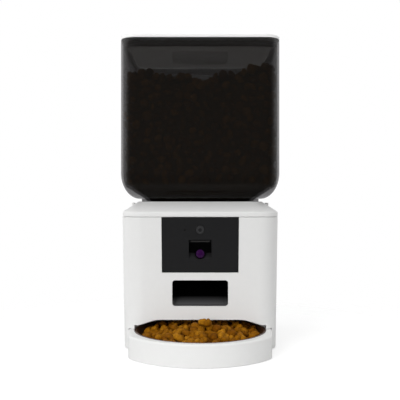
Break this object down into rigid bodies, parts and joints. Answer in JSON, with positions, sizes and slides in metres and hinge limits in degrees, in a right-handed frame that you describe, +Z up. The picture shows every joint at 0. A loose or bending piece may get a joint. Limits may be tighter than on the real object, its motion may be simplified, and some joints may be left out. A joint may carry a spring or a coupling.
{
  "type": "pet feeder with camera",
  "caption": "Automatic dry food dispenser: smoky square hopper on a white base with a black camera panel, a food outlet and a pull-out round tray that holds a bowl.",
  "frame": {"origin": "on the table, at the middle of the footprint, tray included", "axes": "+Z up, -Y to the front where the tray and camera are, +X to the right seen from the front"},
  "size_m": [0.19, 0.2662, 0.3737],
  "materials": {
    "white_plastic": "satin white moulded ABS",
    "smoky_plastic": "polished smoky translucent",
    "frosted_plastic": "frosted clear",
    "black_plastic": "fine satin black",
    "dark_plastic": "matte dark grey",
    "bowl_plastic": "dark satin",
    "acetal": "natural acetal",
    "silicone": "soft grey silicone",
    "rubber": "black rubber",
    "black_glass": "black glass",
    "lens_glass": "coated lens",
    "light_pipe": "smoked light pipe",
    "circuit_board": "green solder mask",
    "motor_steel": "drawn steel",
    "shaft_steel": "ground steel"
  },
  "bodies": {
    "base": {"base_shell": "white_plastic", "base_plate": "white_plastic", "top_cover": "white_plastic", "throat_seal": "silicone", "rotor_pan": "dark_plastic", "metering_plate": "dark_plastic", "shaft_bush": "acetal", "gear_motor": "motor_steel", "drive_bracket": "dark_plastic", "chute": "dark_plastic", "food_sensor_emitter": "black_plastic", "food_sensor_receiver": "black_plastic", "camera_panel": "black_plastic", "camera_window": "black_glass", "status_light": "light_pipe", "camera_module": "black_plastic", "camera_lens": "lens_glass", "camera_board": "circuit_board", "button_switch": "motor_steel", "microphone": "rubber", "main_board": "circuit_board", "speaker": "black_plastic", "dc_jack": "black_plastic", "battery_box": "black_plastic", "base_screw_1": "shaft_steel", "base_screw_2": "shaft_steel", "base_screw_3": "shaft_steel", "base_screw_4": "shaft_steel", "foot_1": "rubber", "foot_2": "rubber", "foot_3": "rubber", "foot_4": "rubber"},
    "hopper": {"hopper": "smoky_plastic"},
    "lid": {"lid": "white_plastic", "lid_seal": "silicone"},
    "desiccant_box": {"desiccant_box": "frosted_plastic"},
    "rotor": {"rotor_vanes": "silicone", "stirrer": "dark_plastic", "rotor_shaft": "shaft_steel", "rotor_gear": "acetal"},
    "pinion": {"drive_pinion": "acetal", "motor_shaft": "shaft_steel"},
    "feed_button": {"feed_button": "black_plastic"},
    "latch_left": {"latch_left": "white_plastic"},
    "latch_right": {"latch_right": "white_plastic"},
    "tray": {"tray": "white_plastic"},
    "bowl": {"bowl": "bowl_plastic"},
    "battery_door": {"battery_door": "white_plastic"}
  },
  "joints": [
    {"name": "hopper_lift", "type": "slide", "parent": "base", "child": "hopper", "axis": [0, 0, 1], "range_m": [0, 0.2]},
    {"name": "lid_lift", "type": "slide", "parent": "hopper", "child": "lid", "axis": [0, 0, 1], "range_m": [0, 0.1]},
    {"name": "desiccant_release", "type": "slide", "parent": "lid", "child": "desiccant_box", "axis": [0, 0, -1], "range_m": [0, 0.03]},
    {"name": "rotor_spin", "type": "hinge", "parent": "base", "child": "rotor", "pos_m": [0, 0.03815, 0.12], "axis": [0, 0, 1], "continuous": true},
    {"name": "pinion_spin", "type": "hinge", "parent": "base", "child": "pinion", "pos_m": [0, 0.06615, 0.108], "axis": [0, 0, 1], "continuous": true},
    {"name": "feed_button_press", "type": "slide", "parent": "base", "child": "feed_button", "axis": [0, 1, 0], "range_m": [0, 0.0008], "stiffness_N_per_m": 400},
    {"name": "latch_left_pull", "type": "slide", "parent": "base", "child": "latch_left", "axis": [-1, 0, 0], "range_m": [0, 0.0018], "stiffness_N_per_m": 300},
    {"name": "latch_right_pull", "type": "slide", "parent": "base", "child": "latch_right", "axis": [1, 0, 0], "range_m": [0, 0.0018], "stiffness_N_per_m": 300},
    {"name": "tray_pull", "type": "slide", "parent": "base", "child": "tray", "axis": [0, -1, 0], "range_m": [0, 0.09]},
    {"name": "bowl_lift", "type": "slide", "parent": "tray", "child": "bowl", "axis": [0, 0, 1], "range_m": [0, 0.005]},
    {"name": "battery_door_slide", "type": "slide", "parent": "base", "child": "battery_door", "axis": [0, 1, 0], "range_m": [0, 0.008]}
  ],
  "couplings": [
    {"joint": "pinion_spin", "follows": "rotor_spin", "ratio": -3}
  ]
}
